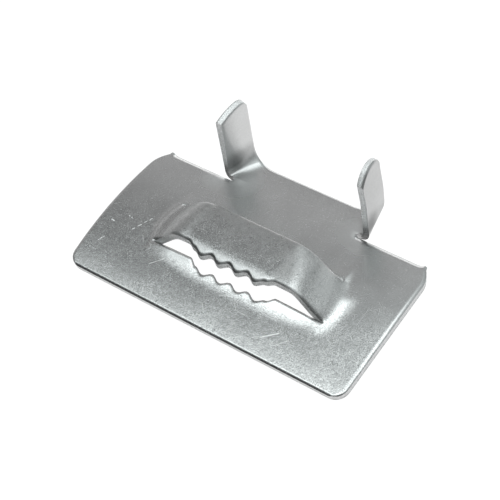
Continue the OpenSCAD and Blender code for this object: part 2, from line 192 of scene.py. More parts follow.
def foot_half(share):
    return foot_line(share) + 4 * FOOT_BULGE * share * (1 - share)


def crest_half(share):
    return foot_line(share) - mix(FRONT_INCLINE, REAR_INCLINE, share)


def climb_at(x, share):
    """How far up the incline a place lies, at distance x from the strip's middle."""
    return (foot_half(share) - np.abs(x)) / (foot_half(share) - crest_half(share))


def toothed(u):
    return smooth((TEETH_HALF + STEP_RAMP - np.abs(u - TOOTH_SHIFT)) / STEP_RAMP)


def tooth_wave(u):
    x = u - TOOTH_SHIFT
    wave = np.cos(2 * np.pi * (x / TOOTH_PITCH + TOOTH_COUNT / 2))
    return TOOTH_DEPTH / 2 * np.where(np.abs(x) >= TEETH_HALF, 1, wave)


def slot_front_at(u):
    return SLOT_Y - toothed(u) * (SLOT_STEP - tooth_wave(u))


def neck_at(x, share):
    from_tip = (cut_half(share) - np.abs(x)) / (cut_half(share) - crest_half(share))
    return mix(FRONT_NECK, -REAR_NECK, share) * ease(from_tip, share)


def bridge_front_at(x):
    u = strip_mid(0) + x
    return SLOT_Y + neck_at(x, 0) - toothed(u) * (BRIDGE_STEP - tooth_wave(u))


def bridge_rear_at(x):
    return SLOT_REAR + neck_at(x, 1)


# Lines that the lips of the plate and of the strip are measured from
def lip_ramp(x):
    return LIP_FOLLOW * smooth((SLOT_HALF - np.abs(x)) / (SLOT_HALF - TEETH_HALF))


def slot_line(x):
    return SLOT_Y - SLOT_STEP * lip_ramp(x)


def bridge_line(x):
    return SLOT_Y + neck_at(x, 0) - BRIDGE_STEP * lip_ramp(x)


def stack(*parts):
    return np.stack(np.broadcast_arrays(*parts), axis=-1)


def swell(x, y):
    """Height of the plate where it is drawn up beside the bridge's right foot."""
    run_x, run_y = SWELL_RUN
    from_x, from_y = x - SWELL_FROM[0], y - SWELL_FROM[1]
    along = np.clip((from_x * run_x + from_y * run_y) / (run_x ** 2 + run_y ** 2), 0, 1)
    away = np.hypot(from_x - along * run_x, from_y - along * run_y)
    return SWELL_RISE * smooth(1 - away / SWELL_REACH) ** 2


def sheet(u, v, h=0.0, slope=0.0, sink=0.0):
    """Upper and lower points of the formed sheet over blank points (u, v)."""
    turn = (v - TOTAL_D / 2) / ARCH_R
    radius = ARCH_R + HALF_T + h + swell(u, ARCH_R * np.sin(turn))
    middle = stack(u, radius * np.sin(turn), radius * np.cos(turn) - ARCH_FOOT)
    lean = stack(-slope, np.sin(turn), np.cos(turn))
    normal = lean / np.linalg.norm(lean, axis=-1, keepdims=True)
    upper = middle + stack(HALF_T - sink) * normal
    return upper, middle - HALF_T * normal


class Columns:
    """Columns of a grid across the plate: places between the cuts' ends, then on both sides
    of them the feet, the plain plate and the rolls along the plate's sides."""

    def __init__(self, inner):
        feet, plain = np.linspace(0, 1, FOOT_LINES), between(0, 1, PLAIN_LINES)
        n = len(feet) + len(plain) + len(ROLL_LINES)
        self.past = n
        foot = np.concatenate([feet, np.ones(n - len(feet))])
        outward = np.concatenate([np.zeros(len(feet)), plain, np.ones(len(ROLL_LINES))])
        room = np.concatenate([np.full(n - len(ROLL_LINES), ROLL_REACH), ROLL_LINES])
        none = np.zeros(len(inner))

        def both(side_values, middle, mirrored=False):
            left = side_values[::-1] * (-1 if mirrored else 1)
            return np.concatenate([left, middle, side_values])

        self.side = both(np.ones(n), none, mirrored=True)
        self.cut = both(np.ones(n), inner, mirrored=True)
        self.foot, self.outward, self.room = both(foot, none), both(outward, none), both(room, none)
        self.inside = self.side == 0

    def u(self, v, share):
        foot = foot_line(share) + FOOT_BULGE - cut_half(share)
        at_foot = strip_mid(share) + cut_half(share) * self.cut + self.side * foot * self.foot
        at_edge = self.side * (half_at(v) - self.room)
        return mix(at_foot, at_edge, self.outward)

    def cut_run(self, row):
        """The stretch of a row between the ends of the cuts."""
        return row[self.past - 1:len(row) - self.past + 1]


def cut_places():
    """Places along the front cut, dense across the teeth, as shares of its half length."""
    teeth = TOOTH_SHIFT + np.linspace(-TEETH_HALF, TEETH_HALF, TOOTH_COUNT * TOOTH_LINES + 1)
    reach = TEETH_HALF + STEP_RAMP
    left = np.linspace(-1, (TOOTH_SHIFT - reach - BRIDGE_SHIFT) / SLOT_HALF, CUT_END_LINES)[1:]
    right = np.linspace((TOOTH_SHIFT + reach - BRIDGE_SHIFT) / SLOT_HALF, 1, CUT_END_LINES)[:-1]
    ramp = between(0, STEP_RAMP, RAMP_LINES)
    run = np.concatenate([teeth[0] - ramp[::-1], teeth, teeth[-1] + ramp])
    return np.concatenate([left, (run - BRIDGE_SHIFT) / SLOT_HALF, right])


band_columns = Columns(cut_places())


def edge_rise(share):
    return BRIDGE_RISE - LIP_DROP * (1 - share)


def foot_rise(x, share):
    return edge_rise(share) * ease(climb_at(x, share), share)


def foot_slope(x, share):
    run = foot_half(share) - crest_half(share)
    return -np.sign(x) * edge_rise(share) * ease_slope(climb_at(x, share), share) / run


def lip_rise(x, share):
    """Height of the plate along the front or rear cut: a lip in front, drawn up at the feet."""
    inward = cut_half(share) - np.abs(x)
    lip = mix(foot_rise(cut_half(share), share), SLOT_LIP * (1 - share), smooth(inward / LIP_FADE))
    return np.where(inward < CUT_END, foot_rise(x, share), lip)


def lip_slope(x, share):
    inward = cut_half(share) - np.abs(x)
    lip = foot_slope(np.sign(x) * cut_half(share), share) * (1 - smooth(inward / LEAN_FADE))
    return np.where(inward < CUT_END, foot_slope(x, share), lip)


def front_panel():
    """The plate in front of the slot, with the slot's lip."""
    cols = band_columns
    cut_u = cols.u(SLOT_Y, 0.0)
    end = np.where(cols.inside, slot_front_at(cut_u), SLOT_Y)
    x = cut_u - strip_mid(0)
    line = np.where(cols.inside, slot_line(x), SLOT_Y)
    corner = FRONT_CORNER_R * (1 - np.cos(np.linspace(0, np.pi / 2, CORNER_LINES)))
    front_roll = ROLL_LINES[::-1][1:]
    fixed = np.unique(np.round(np.concatenate([corner, front_roll]), 6))
    lip = np.concatenate([np.linspace(SLOT_LIP_W, ROLL_REACH, LIP_LINES)[:-1], ROLL_LINES])
    rows = [np.full_like(end, v) for v in fixed]
    rows += [mix(fixed[-1], end - SLOT_LIP_W, f) for f in between(0, 1, FRONT_LINES)]
    rows += [end - d for d in lip]
    v = np.array(rows)
    u = cols.u(v, 0.0)
    near = np.maximum(0, 1 - (line - v) / SLOT_LIP_W) ** 2
    cut_roll = np.where(cols.inside, roll(end - v), 0)
    sink = np.maximum(np.maximum(roll(v), roll(half_at(v) - np.abs(u))), cut_roll)
    return sheet(u, v, lip_rise(x, 0) * near, lip_slope(x, 0) * near, sink), u, v


def strip_panel():
    """The bridge, with the plate on both sides of it."""
    cols = band_columns
    front_x = cols.u(SLOT_Y, 0.0) - strip_mid(0)
    rear_x = cols.u(SLOT_REAR, 1.0) - strip_mid(1)
    front = np.where(cols.inside, bridge_front_at(front_x), SLOT_Y)
    line = np.where(cols.inside, bridge_line(front_x), SLOT_Y)
    rear = np.where(cols.inside, bridge_rear_at(rear_x), SLOT_REAR)
    width = rear - front
    rows = [d / width for d in ROLL_LINES[::-1]]
    rows += [mix(ROLL_REACH, LIP_W, f) / width for f in np.linspace(0, 1, LIP_LINES)[1:]]
    rows += [mix(LIP_W / width, 1 - ROLL_REACH / width, f) for f in between(0, 1, STRIP_LINES)]
    rows += [1 - d / width for d in ROLL_LINES]
    share = np.array(rows)
    v = mix(front, rear, share)
    u = cols.u(v, share)
    x = u - strip_mid(share)
    climb = climb_at(x, share)
    near = np.maximum(0, 1 - (v - line) / LIP_W)
    rise = BRIDGE_RISE - LIP_DROP * near ** 2
    steep = rise * ease_slope(climb, share) / (foot_half(share) - crest_half(share))
    cut_roll = np.where(cols.inside, np.maximum(roll(v - front), roll(rear - v, CREST_ROLL)), 0)
    sink = np.maximum(cut_roll, roll(half_at(v) - np.abs(u)))
    return sheet(u, v, rise * ease(climb, share), -np.sign(x) * steep, sink), u, v


# How late the folds turn, and into how many parts each step along them is cut to add them up
FOLD_LATE, FOLD_PARTS = 1.25, 10


def fold_profile():
    """Turn, reach and rise of the sheet along a fold of length 1, which starts and ends gently."""
    t = np.linspace(0, 1, FOLD_PARTS * (FOLD_LINES - 1) + 1)
    turn = np.pi / 2 * smooth(t) ** FOLD_LATE

    def run(values):
        steps = (values[1:] + values[:-1]) / 2 * np.diff(t)
        return np.concatenate([[0], np.cumsum(steps)])[::FOLD_PARTS]

    return turn[::FOLD_PARTS], run(np.cos(turn)), run(np.sin(turn))


fold_turn, fold_reach, fold_rise = fold_profile()


def fold_l(share):
    return mix(FOLD_FRONT_L, FOLD_REAR_L, share)


def fold_x(share):
    return EAR_IN + HALF_T - fold_l(share) * fold_reach[-1] - EAR_TOE * share


tongue_places = np.linspace(-1, 1, TONGUE_LINES)
# Places between the tongue, at 1, and the end of the rear cut, at 2
beside_tongue = between(1, 2, BESIDE_TONGUE_LINES)
back_columns = Columns(np.concatenate([-beside_tongue[::-1], tongue_places, beside_tongue]))


def back_panel():
    """The plate behind the bridge, up to the tongue and the back edge."""
    cols = back_columns
    corner = PLATE_D - REAR_CORNER_L * (1 - np.linspace(0, 1, CORNER_LINES))
    rows = [SLOT_REAR + d for d in ROLL_LINES[::-1]]
    rows += list(between(SLOT_REAR + ROLL_REACH, corner[0], BACK_LINES))
    rows += [v for v in corner if v < PLATE_D - ROLL_REACH - LEAST_GAP]
    rows += [PLATE_D - d for d in ROLL_LINES]
    v = np.array(rows)[:, None] + np.zeros(len(cols.side))
    side, past = np.sign(cols.cut), np.maximum(0, np.abs(cols.cut) - 1)
    beside = mix(side * fold_x(0.0), strip_mid(1) + side * cut_half(1), past)
    within = np.where(past > 0, beside, cols.cut * fold_x(0.0))
    u = np.where(cols.inside, within, cols.u(v, 1.0))
    x = np.where(cols.inside, within, cols.u(SLOT_REAR, 1.0)) - strip_mid(1)
    near = np.maximum(0, 1 - (v - SLOT_REAR) / SKIRT_W) ** 2
    cut_roll = np.where(cols.inside, roll(v - SLOT_REAR, CREST_ROLL), 0)
    from_side = half_at(v) - np.abs(u)
    shear_roll = roll(PLATE_D - v, BACK_ROLL, BACK_ROLL_W)
    shear_roll = shear_roll * smooth((np.abs(u) - fold_x(0.0)) / EDGE_ROLL_W)
    shear_roll = shear_roll * smooth(from_side / BACK_ROLL_FADE)
    sink = np.maximum(np.maximum(cut_roll, shear_roll), roll(from_side))
    return sheet(u, v, lip_rise(x, 1) * near, lip_slope(x, 1) * near, sink), u, v


# Shares of the ear's width, from front to rear, dense beside both edges
edge_shares = ROLL_LINES / TONGUE_L
middle_shares = between(edge_shares[0], 1 - edge_shares[0], EAR_DEPTH_LINES)
ear_shares = np.concatenate([edge_shares[::-1], middle_shares, 1 - edge_shares])


def tongue_panel():
    """The tongue between the two folds."""
    share = ear_shares[:, None]
    v = mix(PLATE_D, TOTAL_D, share) + 0 * tongue_places
    u = tongue_places * fold_x(share)
    return sheet(u, v, sink=roll(TOTAL_D - v)), u, v


def ear_top(ear, share):
    """Height of an ear's top edge above the tongue, by the share of its width from the front."""
    depth = TONGUE_L - EAR_KERF + ear["over"]
    corner = np.maximum(0, 1 - depth * (1 - share) / ear["corner"])
    arch = ear["arch"] * (1 - (2 * share - 1) ** 2) + ear["climb"] * share
    drop = ear["drop"] * np.maximum(0, 1 - share / EAR_TIP_AT) ** 2
    rounded = ear["corner"] * (1 - np.sqrt(1 - corner ** 2))
    return EAR_H + HALF_T - ear["less"] + arch - drop - rounded


def ear_panel(side):
    """An ear with its fold: the left one for side -1, the right one for side 1."""
    share = ear_shares[:, None]
    ear = EARS[side]
    top = ear_top(ear, share)
    length = top - fold_l(share) * fold_rise[-1]
    above = between(0, 1, EAR_LINES)
    past = len(above) + len(ROLL_LINES)

    def and_past(along_fold):
        """Values along the fold, the last of which holds above it."""
        return np.concatenate([along_fold, np.full(past, along_fold[-1])])

    fold = and_past(np.linspace(0, 1, FOLD_LINES))
    bend, reach, lift = and_past(fold_turn), and_past(fold_reach), and_past(fold_rise)
    upright = np.concatenate([np.zeros(FOLD_LINES), above, np.ones(len(ROLL_LINES))])
    room = np.concatenate([np.full(FOLD_LINES + len(above), ROLL_REACH), ROLL_LINES])
    climb = upright * (length - room)
    folded = fold_l(share) * fold
    front = PLATE_D + EAR_KERF * smooth(folded / KERF_RAMP)
    rear = TOTAL_D + ear["over"] * smooth(fold)
    v = mix(front, rear, share)
    turn = (v - TOTAL_D / 2) / ARCH_R
    rise = fold_l(share) * lift + climb
    curl = ear["curl"] * smooth(CURL_GROWTH * (rise / EAR_H - CURL_FROM))
    x = fold_x(share) + fold_l(share) * reach - curl
    middle_r = ARCH_R + HALF_T
    base = stack(side * x, middle_r * np.sin(turn), middle_r * np.cos(turn) - ARCH_FOOT)
    up = np.array([0, math.sin(EAR_LEAN), math.cos(EAR_LEAN)])
    lean = stack(-side * np.sin(bend), np.cos(bend) * np.sin(turn), np.cos(bend) * np.cos(turn))
    normal = lean / np.linalg.norm(lean, axis=-1, keepdims=True)
    from_top = np.where(fold < 1, np.inf, length - climb)
    up_share = 1 - (1 - rise / top) ** 2
    roll_depth, roll_width = mix(*ear["rolls"], up_share), mix(*ear["widths"], up_share)
    formed_roll = roll(v - front, roll_depth, roll_width) * smooth(fold)
    cut_roll = roll(v - front) * smooth(EAR_ROLL_GROWTH * (fold - EAR_ROLL_FROM))
    front_roll = np.maximum(formed_roll, cut_roll)
    sink = np.maximum(front_roll, roll(np.minimum(rear - v, from_top)))
    outer_sink = roll(from_top, EAR_ROUND)
    inner_rise = rise - ear["bevel"] * climb / length
    upper = base + inner_rise[..., None] * up + (HALF_T - sink)[..., None] * normal
    lower = base + rise[..., None] * up - (HALF_T - outer_sink)[..., None] * normal
    return (upper, lower), side * (fold_x(share) + folded + climb), v


# The two finishes of the sheet, and the angle from which an edge between faces is sharp
ROLLED, SHEARED = 0, 1
SHARP_ANGLE = math.radians(32)


class Shell:
    """Collects grids of points as one mesh."""

    def __init__(self):
        self.points, self.faces, self.uvs, self.finish = [], [], [], []
        self.count = 0

    def grid(self, points, u, v, finish, flip=False, closed=False):
        rows, cols = points.shape[:2]
        index = self.count + np.arange(rows * cols).reshape(rows, cols)
        if closed:
            index = np.concatenate([index, index[:, :1]], axis=1)
        quads = np.stack([index[:-1, :-1], index[:-1, 1:], index[1:, 1:], index[1:, :-1]], axis=-1)
        quads = quads.reshape(-1, 4)
        self.points.append(points.reshape(-1, 3))
        self.uvs.append(np.stack(np.broadcast_arrays(u, v), axis=-1).reshape(-1, 2))
        self.faces.append(quads[:, ::-1] if flip else quads)
        self.finish.append(np.full(len(quads), finish))
        self.count += rows * cols

    def panel(self, formed, u, v, flip=False):
        self.grid(formed[0], u, v, ROLLED, flip)
        self.grid(formed[1], u, v, ROLLED, not flip)

    def mesh(self, name):
        points, faces = np.concatenate(self.points) * MM, np.concatenate(self.faces)
        uvs = np.concatenate(self.uvs)
        mesh = bpy.data.meshes.new(name)
        mesh.from_pydata(points.tolist(), [], faces.tolist())
        layer = mesh.uv_layers.new(name="blank_mm")
        layer.data.foreach_set("uv", uvs[faces.ravel()].ravel().astype(np.float32))
        mesh.polygons.foreach_set("material_index", np.concatenate(self.finish).astype(np.int32))
        welded = bmesh.new()
        welded.from_mesh(mesh)
        bmesh.ops.remove_doubles(welded, verts=welded.verts, dist=WELD * MM)
        welded.to_mesh(mesh)
        welded.free()
        mesh.polygons.foreach_set("use_smooth", np.ones(len(mesh.polygons), dtype=bool))
        mesh.set_sharp_from_angle(angle=SHARP_ANGLE)
        return mesh


# A sheared face from its upper to its lower edge, by share of the thickness and millimetres outward:
# the burnished land, then the torn face that steps back, and the burr
SHEAR_PROFILE = [(0.0, 0.0), (0.12, 0.0), (0.3, 0.0), (0.44, -0.005), (0.5, -0.03), (0.6, -0.05),
                 (0.75, -0.06), (0.9, -0.055), (0.97, -0.02), (1.0, 0.0)]
# How far from the ends of a cut its torn face fades out
TEAR_FADE = 2.0


def sheared_wall(shell, upper, lower, depth):
    """Closes the sheet along a closed run of its edge, with the outside on the run's right."""
    middle, across = (upper + lower) / 2, upper - lower
    along = np.roll(middle, -1, axis=0) - np.roll(middle, 1, axis=0)
    outward = np.cross(along, across)
    outward /= np.maximum(np.linalg.norm(outward, axis=1, keepdims=True), TINY)
    steps = np.linalg.norm(np.roll(middle, -1, axis=0) - middle, axis=1)
    length = np.concatenate([[0], np.cumsum(steps)[:-1]])
    rows = [mix(upper, lower, t) + (out * depth)[:, None] * outward for t, out in SHEAR_PROFILE]
    places = np.array([t for t, _ in SHEAR_PROFILE])[:, None] * SHEET_T
    shell.grid(np.array(rows), length[None, :], places, SHEARED, flip=True, closed=True)


def closed_run(pairs):
    """Joins stretches of the sheet's edge to one run, without the points that repeat."""
    upper = np.concatenate([p[0] for p in pairs])
    lower = np.concatenate([p[1] for p in pairs])
    keep = np.linalg.norm(lower - np.roll(lower, 1, axis=0), axis=1) > RUN_STEP
    return upper[keep], lower[keep]


def edge(formed, rows, cols):
    return formed[0][rows, cols], formed[1][rows, cols]


def backwards(pair):
    return pair[0][::-1], pair[1][::-1]


def buckle_mesh():
    shell = Shell()
    front, strip, back, tongue = front_panel(), strip_panel(), back_panel(), tongue_panel()
    left, right = ear_panel(-1), ear_panel(1)
    for panel in (front, strip, back, tongue, right):
        shell.panel(*panel)
    shell.panel(*left, flip=True)
    front, strip, back, tongue, left, right = (p[0] for p in (front, strip, back, tongue, left, right))
    every = slice(None)
    beside = back_columns.past + len(beside_tongue)
    outline = [
        edge(front, 0, every), edge(front, every, -1), edge(strip, every, -1), edge(back, every, -1),
        backwards(edge(back, -1, slice(-beside - 1, None))),
        edge(right, 0, every), edge(right, every, -1), backwards(edge(right, -1, every)),
        backwards(edge(tongue, -1, every)),
        edge(left, -1, every), backwards(edge(left, every, -1)), backwards(edge(left, 0, every)),
        backwards(edge(back, -1, slice(None, beside + 1))),
        backwards(edge(back, every, 0)), backwards(edge(strip, every, 0)),
        backwards(edge(front, every, 0)),
    ]
    upper, lower = closed_run(outline)
    sheared_wall(shell, upper, lower, np.ones(len(upper)))

    def close_cut(near_columns, near_row, far_columns, far_row):
        near = tuple(near_columns.cut_run(p) for p in near_row)
        far = tuple(far_columns.cut_run(p) for p in far_row)
        upper, lower = closed_run([near, backwards(far)])
        off_middle = np.abs(upper[:, 0] - (upper[:, 0].max() + upper[:, 0].min()) / 2)
        sheared_wall(shell, upper, lower, smooth((off_middle.max() - off_middle) / TEAR_FADE))

    close_cut(band_columns, edge(strip, 0, every), band_columns, edge(front, -1, every))
    close_cut(back_columns, edge(back, 0, every), band_columns, edge(strip, -1, every))
    return shell.mesh("buckle_sheet")


class Value:
    """One output of a shader node. Arithmetic on it adds Math nodes to its tree."""

    def __init__(self, tree, socket):
        self.tree, self.socket = tree, socket

    def math(self, operation, first, second):
        return self.tree.node("Math", {"operation": operation}, {0: first, 1: second})

    def __add__(self, other):
        return self.math("ADD", self, other)

    def __sub__(self, other):
        return self.math("SUBTRACT", self, other)

    def __mul__(self, other):
        return self.math("MULTIPLY", self, other)

    def __truediv__(self, other):
        return self.math("DIVIDE", self, other)

    def __pow__(self, other):
        return self.math("POWER", self, other)

    def __radd__(self, other):
        return self.math("ADD", other, self)

    def __rsub__(self, other):
        return self.math("SUBTRACT", other, self)

    def __rmul__(self, other):
        return self.math("MULTIPLY", other, self)

    def __rtruediv__(self, other):
        return self.math("DIVIDE", other, self)

    def most(self, other):
        return self.math("MAXIMUM", self, other)

    def least(self, other):
        return self.math("MINIMUM", self, other)

    def ramp(self, low, high, to_low=0.0, to_high=1.0):
        """Smooth step from to_low, where the value is low, to to_high, where it is high."""
        return self.tree.node("MapRange", {"interpolation_type": "SMOOTHSTEP"},
                              {"Value": self, "From Min": low, "From Max": high,
                               "To Min": to_low, "To Max": to_high})


class NodeTree:
    """Adds nodes to a material's or the world's tree."""

    def __init__(self, owner):
        owner.use_nodes = True
        self.tree = owner.node_tree
        self.tree.nodes.clear()

    def node(self, kind, settings=None, inputs=None, output=0):
        made = self.tree.nodes.new("ShaderNode" + kind)
        for name, value in (settings or {}).items():
            setattr(made, name, value)
        for name, value in (inputs or {}).items():
            if isinstance(value, Value):
                self.tree.links.new(value.socket, made.inputs[name])
            else:
                made.inputs[name].default_value = value
        if output == "each":
            return [Value(self, socket) for socket in made.outputs]
        return Value(self, made.outputs[output]) if len(made.outputs) else None


def grey(level):
    return (level, level, level, 1.0)


def object_mm(tree):
    """Place on the object in millimetres."""
    place = tree.node("TexCoord", output="Object")
    return tree.node("VectorMath", {"operation": "SCALE"}, {0: place, "Scale": 1 / MM})


def noise(tree, place, size, detail=2.0, roughness=0.5):
    """Cloudy noise whose lumps are about size millimetres across."""
    return tree.node("TexNoise", {}, {"Vector": place, "Scale": 1 / size, "Detail": detail,
                                      "Roughness": roughness})


# Share of a scratch's width over which it is full
SCRATCH_CORE = 0.3


def hairlines(tree, place, cell, width, seed):
    """Thin broken lines in random directions, about as long as a cell."""
    shifted = tree.node("VectorMath", {"operation": "ADD"}, {0: place, 1: (seed, seed, seed)})
    line = tree.node("TexVoronoi", {"feature": "DISTANCE_TO_EDGE", "voronoi_dimensions": "2D"},
                     {"Vector": shifted, "Scale": 1 / cell})
    broken = noise(tree, shifted, cell * 0.6, 2.0)
    return line.ramp(width / cell, SCRATCH_CORE * width / cell) * broken.ramp(0.55, 0.65)


def distance_from(tree, place, start, end):
    """Distance from the straight line between two places on the plate, seen from above."""
    run = Vector((*end, 0)) - Vector((*start, 0))
    flat = tree.node("VectorMath", {"operation": "MULTIPLY"}, {0: place, 1: (1, 1, 0)})
    away = tree.node("VectorMath", {"operation": "SUBTRACT"}, {0: flat, 1: (*start, 0)})
    along = tree.node("VectorMath", {"operation": "DOT_PRODUCT"}, {0: away, 1: run / run.length_squared},
                      output="Value").most(0.0).least(1.0)
    nearest = tree.node("VectorMath", {"operation": "SCALE"}, {0: run, "Scale": along})
    return tree.node("VectorMath", {"operation": "DISTANCE"}, {0: away, 1: nearest}, output="Value")


# Scratches on the plate: both ends in millimetres from the seat, and the width
SCRATCHES = [
    ((-15.3, -4.9), (-15.15, -4.6), 0.06), ((-14.95, -4.2), (-14.75, -3.8), 0.08),
    ((-14.55, -3.4), (-14.4, -3.1), 0.05), ((-14.2, -2.7), (-14.05, -2.4), 0.08),
    ((-17.0, -3.4), (-16.8, -3.44), 0.06), ((-16.5, -3.5), (-16.3, -3.54), 0.06),
    ((-10.3, -8.0), (-9.0, -6.6), 0.04), ((7.7, -9.9), (9.4, -8.5), 0.08),
    ((-18.6, -4.9), (-18.2, -4.95), 0.1), ((-18.3, -8.2), (-17.9, -7.4), 0.06),
]


# Front edges of the ears where they leave the tongue: both ends in millimetres from the seat
LEFT_ROOT = (-10.5, 8.4), (-8.5, 8.4)
RIGHT_ROOT = (9.5, 8.4), (10.5, 8.4)
# Height and place of the top line of an arch just above the plate, from which raised forms are told
PLATE_TOP, PLATE_TOP_Y = 2.39, 0.6


def sheet_zones(tree, place):
    """Masks of the sheet's zones, by millimetres from the seat."""
    x, y, z = tree.node("SeparateXYZ", {}, {"Vector": place}, output="each")
    across = x.most(x * -1.0)
    lift = z - (PLATE_TOP - (y - PLATE_TOP_Y) * (y - PLATE_TOP_Y) / (2 * ARCH_R))
    before_back = y.ramp(3.5, 2.5)
    slot_lip = lift.ramp(0.02, 0.14) * y.ramp(-4.5, -5.5) * z.ramp(3.4, 3.0)
    bridge_lip = z.ramp(3.0, 3.6) * y.ramp(-4.1, -5.0)
    from_left = distance_from(tree, place, *LEFT_ROOT)
    from_right = distance_from(tree, place, *RIGHT_ROOT)
    return {
        "front": y.ramp(3.0, -6.0, 0.2, 1.0),
        "high": z.ramp(3.0, 4.5),
        "slot_lip": slot_lip,
        "both_lips": slot_lip.most(bridge_lip),
        "crest": z.ramp(4.2, 5.2) * before_back,
        "shoulders": z.ramp(3.4, 4.4) * across.ramp(5.8, 6.8) * across.ramp(10.5, 9.5) * before_back,
        # Zones for painted light: a painted highlight on the right incline and at the ears' roots,
        # painted shade low on the ears and high on the right ear
        "right_incline_highlight": x.ramp(7.8, 8.8) * x.ramp(12.8, 12.0) * lift.ramp(0.5, 0.9) * y.ramp(2.5, 1.5),
        "ear_feet_shade": y.ramp(11.6, 9.4) * y.ramp(8.2, 8.5) * z.ramp(6.0, 3.0) * z.ramp(1.9, 2.6),
        "ear_folds": y.ramp(8.2, 8.8) * lift.ramp(0.02, 0.15) * lift.ramp(3.6, 2.0),
        "right_ear_shade": x.ramp(9.0, 9.6) * z.ramp(3.5, 5.0),
        "by_ears": from_left.ramp(4.0, 0.5).most(from_right.ramp(4.0, 0.5, 0.0, 0.5)),
        "ear_root_highlight": from_left.ramp(1.6, 0.2).most(from_right.ramp(1.4, 0.2)) * y.ramp(8.7, 8.4),
    }


# Sizes of the lumps in the rolled finish, in millimetres
CLOUD_SIZE, PATCH_SIZE, PIT_SIZE, GRAIN_SIZE, SPECK_SIZE = 3.0, 0.5, 0.17, 0.13, 0.11
# Short and long hairlines: length and width in millimetres, and the place where their pattern starts
HAIRLINES = [(3.2, 0.05, 3.0), (5.5, 0.06, 11.0)]
# How strongly the lumps and the hairlines show in the grey
GRAIN_SHOWS, PATCH_SHOWS, CLOUD_SHOWS, HAIRLINE_SHOWS = 1.5, 0.5, 0.15, 0.3
# Bump of the grain: strength, depth in millimetres, and the height of the patches beside it
GRAIN_BUMP, GRAIN_DEPTH, PATCH_HEIGHT = 0.45, 0.02, 0.5
# How much more worn the crest is than the rest, and how much less the lips
CREST_WEAR, LIP_SPARED = 0.35, 0.6
# How much clouds change the roughness, and how much wear smooths it
CLOUD_ROUGH, WEAR_SMOOTHS = 0.08, 0.03
# Greys and roughness of the rolled steel and of the marks on it, and how much a pit darkens it
STEEL_GREY, MARK_GREY, PIT_DARK = 0.58, 0.95, 0.25
STEEL_ROUGH, MARK_ROUGH = 0.26, 0.6
# Green and blue of the steel, as shares of its red
GREEN_SHARE, BLUE_SHARE = 1.004, 1.002
# How much lighter than the rest some zones are painted, as painted highlights where above zero and
# painted shade where below, and how much duller
ZONE_PAINTED_LIGHT = {"crest": -0.14, "ear_feet_shade": -0.5, "right_ear_shade": -0.14, "right_incline_highlight": 0.14,
              "ear_root_highlight": 0.4, "ear_folds": -0.12, "shoulders": -0.08, "slot_lip": 0.22}
FOLD_DULL, BY_EARS_DULL, SHOULDER_DULL, HIGH_DULL = 0.22, 0.2, 0.14, 0.04


def rolled_face():
    """Cold rolled face of the sheet: fine grain, dull specks and scratches, more of them in front, and
    zones painted lighter or darker as painted highlights and painted shade.
    """
    material = bpy.data.materials.new("rolled_stainless")
    tree = NodeTree(material)
    place = object_mm(tree)
    zones = sheet_zones(tree, place)
    cloud = noise(tree, place, CLOUD_SIZE, 3.0)
    worn = zones["front"] * cloud.ramp(0.3, 0.6, 0.7, 1.15)
    worn = (worn + CREST_WEAR * zones["crest"]) * (1 - LIP_SPARED * zones["both_lips"])
    grain = noise(tree, place, GRAIN_SIZE, 2.0, 0.6) - 0.5
    patches = noise(tree, place, PATCH_SIZE, 2.0) - 0.5
    pits = noise(tree, place, PIT_SIZE, 1.0).ramp(0.36, 0.27) * worn
    specks = noise(tree, place, SPECK_SIZE, 1.0).ramp(0.70, 0.78) * worn
    short_lines, long_lines = (hairlines(tree, place, *kind) for kind in HAIRLINES)
    marks = specks.most(short_lines.most(long_lines) * worn * HAIRLINE_SHOWS)
    for start, end, width in SCRATCHES:
        marks = marks.most(distance_from(tree, place, start, end).ramp(width, SCRATCH_CORE * width))
    height = worn * (grain + PATCH_HEIGHT * patches)
    bump = tree.node("Bump", {}, {"Strength": GRAIN_BUMP, "Distance": GRAIN_DEPTH * MM, "Height": height})
    # Painted light: some zones painted lighter as highlights, others darker as shade
    grey_with_painted_light = STEEL_GREY
    for zone, lighter in ZONE_PAINTED_LIGHT.items():
        grey_with_painted_light = grey_with_painted_light * (1 + lighter * zones[zone])
    mottle = worn * (GRAIN_SHOWS * grain + PATCH_SHOWS * patches) + CLOUD_SHOWS * (cloud - 0.5)
    level = grey_with_painted_light * (1 + mottle) - PIT_DARK * pits
    level = level * (1 - marks) + MARK_GREY * marks
    colour = tree.node("CombineColor", {}, {"Red": level, "Green": level * GREEN_SHARE,
                                            "Blue": level * BLUE_SHARE})
    dull = (FOLD_DULL * zones["ear_folds"]).most(BY_EARS_DULL * zones["by_ears"])
    dull = dull.most(SHOULDER_DULL * zones["shoulders"]) + HIGH_DULL * zones["high"]
    rough = STEEL_ROUGH + CLOUD_ROUGH * (cloud - 0.5) - WEAR_SMOOTHS * worn + dull
    rough = rough * (1 - marks) + MARK_ROUGH * marks
    steel = tree.node("BsdfPrincipled", {}, {"Base Color": colour, "Metallic": 1.0, "Roughness": rough,
                                             "Normal": bump})
    tree.node("OutputMaterial", {}, {"Surface": steel})
    return material


# Greys of a sheared edge, how much lighter it is painted on the ears as painted light and darker at their
# feet as painted shade, how strongly the tear marks show on the plate and how much more on the ears, and
# the roughness
EDGE_GREY, EDGE_EARS_PAINTED_LIGHT, EDGE_FEET_PAINTED_SHADE = 0.66, 0.16, 0.4
TEAR_SHOWS, TEAR_EARS = 0.9, 0.5
EDGE_ROUGH = 0.6
# Tear marks: their size, the squeeze across the edge that stretches them, and their bump's strength
# and depth in millimetres
TEAR_SIZE, TEAR_SQUEEZE, TEAR_BUMP, TEAR_DEPTH = 0.12, 0.35, 0.5, 0.06


